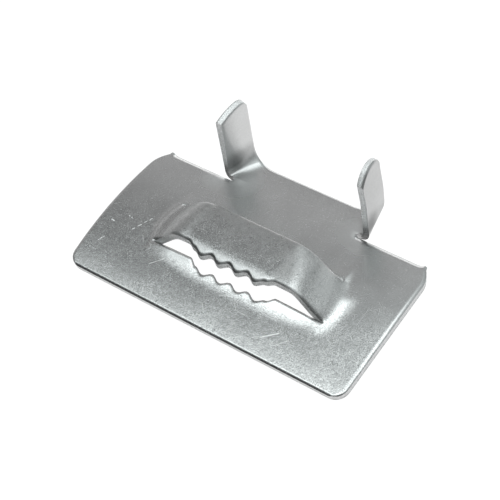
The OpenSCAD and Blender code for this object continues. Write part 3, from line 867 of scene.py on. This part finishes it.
def sheared_face():
    """Sheared edge of the sheet: burnished land and torn face with marks across it, with painted light on
    the ears and painted shade at their feet.
    """
    material = bpy.data.materials.new("sheared_stainless")
    tree = NodeTree(material)
    place = tree.node("TexCoord", output="UV")
    streaks = tree.node("VectorMath", {"operation": "MULTIPLY"}, {0: place, 1: (1, TEAR_SQUEEZE, 1)})
    tear = noise(tree, streaks, TEAR_SIZE, 3.0, 0.6)
    bump = tree.node("Bump", {}, {"Strength": TEAR_BUMP, "Distance": TEAR_DEPTH * MM, "Height": tear})
    x, y, z = tree.node("SeparateXYZ", {}, {"Vector": object_mm(tree)}, output="each")
    ears = z.ramp(3.5, 5.0)
    across = x.most(x * -1.0)
    # Painted light on the ears' sheared edges and painted shade at their feet, by these masks
    ear_feet_shade = z.ramp(3.8, 2.4) * y.ramp(7.9, 8.3) * y.ramp(10.5, 9.5) * across.ramp(9.3, 9.9)
    level = EDGE_GREY + EDGE_EARS_PAINTED_LIGHT * ears - EDGE_FEET_PAINTED_SHADE * ear_feet_shade
    level = level + (TEAR_SHOWS + TEAR_EARS * ears) * (tear - 0.5)
    colour = tree.node("CombineColor", {}, {"Red": level, "Green": level, "Blue": level})
    steel = tree.node("BsdfPrincipled", {}, {"Base Color": colour, "Metallic": 1.0,
                                             "Roughness": EDGE_ROUGH, "Normal": bump})
    tree.node("OutputMaterial", {}, {"Surface": steel})
    return material


def make_buckle():
    piece = bpy.data.objects.new("buckle_sheet", buckle_mesh())
    bpy.context.scene.collection.objects.link(piece)
    piece.data.materials.append(rolled_face())
    piece.data.materials.append(sheared_face())
    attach(piece, "root")
    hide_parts("buckle")


# Floor: half its side in metres, its grey, the ring over which its glow fades, in millimetres from
# the seat, its glow and the share of it that is left beyond the ring
FLOOR_HALF, FLOOR_GREY = 1.5, 0.12
GLOW_FULL, GLOW_FADED = 70, 150
FLOOR_GLOW, FAR_GLOW = 0.97, 0.5


def make_floor():
    mesh = bpy.data.meshes.new("floor")
    build = bmesh.new()
    bmesh.ops.create_grid(build, x_segments=1, y_segments=1, size=FLOOR_HALF)
    build.to_mesh(mesh)
    build.free()
    floor = bpy.data.objects.new("floor", mesh)
    bpy.context.scene.collection.objects.link(floor)
    material = bpy.data.materials.new("pale_floor")
    tree = NodeTree(material)
    away = tree.node("VectorMath", {"operation": "LENGTH"}, {0: object_mm(tree)}, output="Value")
    shine = away.ramp(GLOW_FULL, GLOW_FADED, 1.0, FAR_GLOW)
    glow = tree.node("CombineColor", {}, {0: shine, 1: shine, 2: shine})
    paper = tree.node("BsdfPrincipled", {}, {"Base Color": grey(FLOOR_GREY), "Roughness": 0.9,
                                             "Emission Color": glow, "Emission Strength": FLOOR_GLOW})
    tree.node("OutputMaterial", {}, {"Surface": paper})
    mesh.materials.append(material)


# Where the studio's parts stand, in degrees from +X towards +Y
DIM_LEFT, DIM_RIGHT, FILL_AT, SWEEP_AT, PALE_SIDE_AT = 232, 330, 290, 112, 45
# Brightness of its lamps and pale faces
SOFTBOX, FILL, SWEEP, PALE_SIDE = 1.7, 0.9, 1.8, 0.62
# Keeps the flat part of a direction from zero straight above
LEAST_FLAT = 1e-4


def make_studio():
    """Soft box overhead, weaker straight above, a grey wall behind on the left with a dark band low
    on it, a white sweep low at the back, a pale side at the rear right, and in front a fill between
    two dim corners. Heights are sines of the angle above the horizon."""
    world = bpy.data.worlds.new("studio")
    bpy.context.scene.world = world
    tree = NodeTree(world)
    way = tree.node("TexCoord", output="Generated")
    x, y, z = tree.node("SeparateXYZ", {}, {"Vector": way}, output="each")
    flat = (x * x + y * y).most(LEAST_FLAT) ** 0.5

    def towards(degrees):
        """Cosine of the turn from a compass direction."""
        angle = math.radians(degrees)
        return (x * math.cos(angle) + y * math.sin(angle)) / flat

    wall = x.ramp(-0.25, -0.33) * y.ramp(-0.02, 0.08)
    dim = 1 - 0.85 * towards(DIM_LEFT).ramp(0.5, 0.85) * z.ramp(0.84, 0.76)
    dim = dim * (1 - 0.8 * towards(DIM_RIGHT).ramp(0.6, 0.9) * z.ramp(0.72, 0.6))
    room = z.ramp(0.15, 0.6, 0.16, 0.6) * dim
    softbox = z.ramp(0.78, 0.9, 0.0, SOFTBOX) * z.ramp(0.955, 0.985, 1.0, 0.55)
    fill = towards(FILL_AT).ramp(0.8, 0.95) * z.ramp(0.6, 0.75) * FILL
    sweep = towards(SWEEP_AT).ramp(0.88, 0.96) * z.ramp(0.36, 0.2) * SWEEP
    side = towards(PALE_SIDE_AT).ramp(0.7, 0.95) * z.ramp(0.85, 0.6) * PALE_SIDE
    wall_light = z.ramp(0.62, 0.8, 0.53, 0.22) + z.ramp(0.83, 0.9, 0.0, 0.22)
    wall_light = wall_light * (1 - 0.6 * z.ramp(0.36, 0.4) * z.ramp(0.5, 0.46))
    light = (room + softbox).most(fill) * (1 - wall) + wall_light * wall
    light = light.most(sweep).most(side)
    cool = (1 - wall).most(z.ramp(0.76, 0.86))
    red = light * (1 - 0.06 * cool)
    colour = tree.node("CombineColor", {}, {0: red, 1: light, 2: light})
    glow = tree.node("Background", {}, {"Color": colour})
    tree.node("OutputWorld", {}, {"Surface": glow})


# Camera at the photograph's angle: place, target, roll, lens and the nearest distance it sees
CAMERA_AT = Vector((75.155, -75.433, 131.274)) * MM
LOOKS_AT = Vector((-1.665, 0.820, 0.0)) * MM
CAMERA_ROLL = math.radians(-12.393)
LENS, SENSOR = 100.093, 36.0
CLIP_START = 0.005


def make_camera():
    data = bpy.data.cameras.new("camera")
    data.lens, data.sensor_width = LENS, SENSOR
    data.clip_start = CLIP_START
    camera = bpy.data.objects.new("camera", data)
    bpy.context.scene.collection.objects.link(camera)
    aim = (LOOKS_AT - CAMERA_AT).to_track_quat("-Z", "Y").to_matrix().to_4x4()
    camera.matrix_world = Matrix.Translation(CAMERA_AT) @ aim @ Matrix.Rotation(CAMERA_ROLL, 4, "Z")
    bpy.context.scene.camera = camera


bpy.context.scene.view_settings.view_transform = "Standard"
make_camera()
make_buckle()
make_floor()
make_studio()
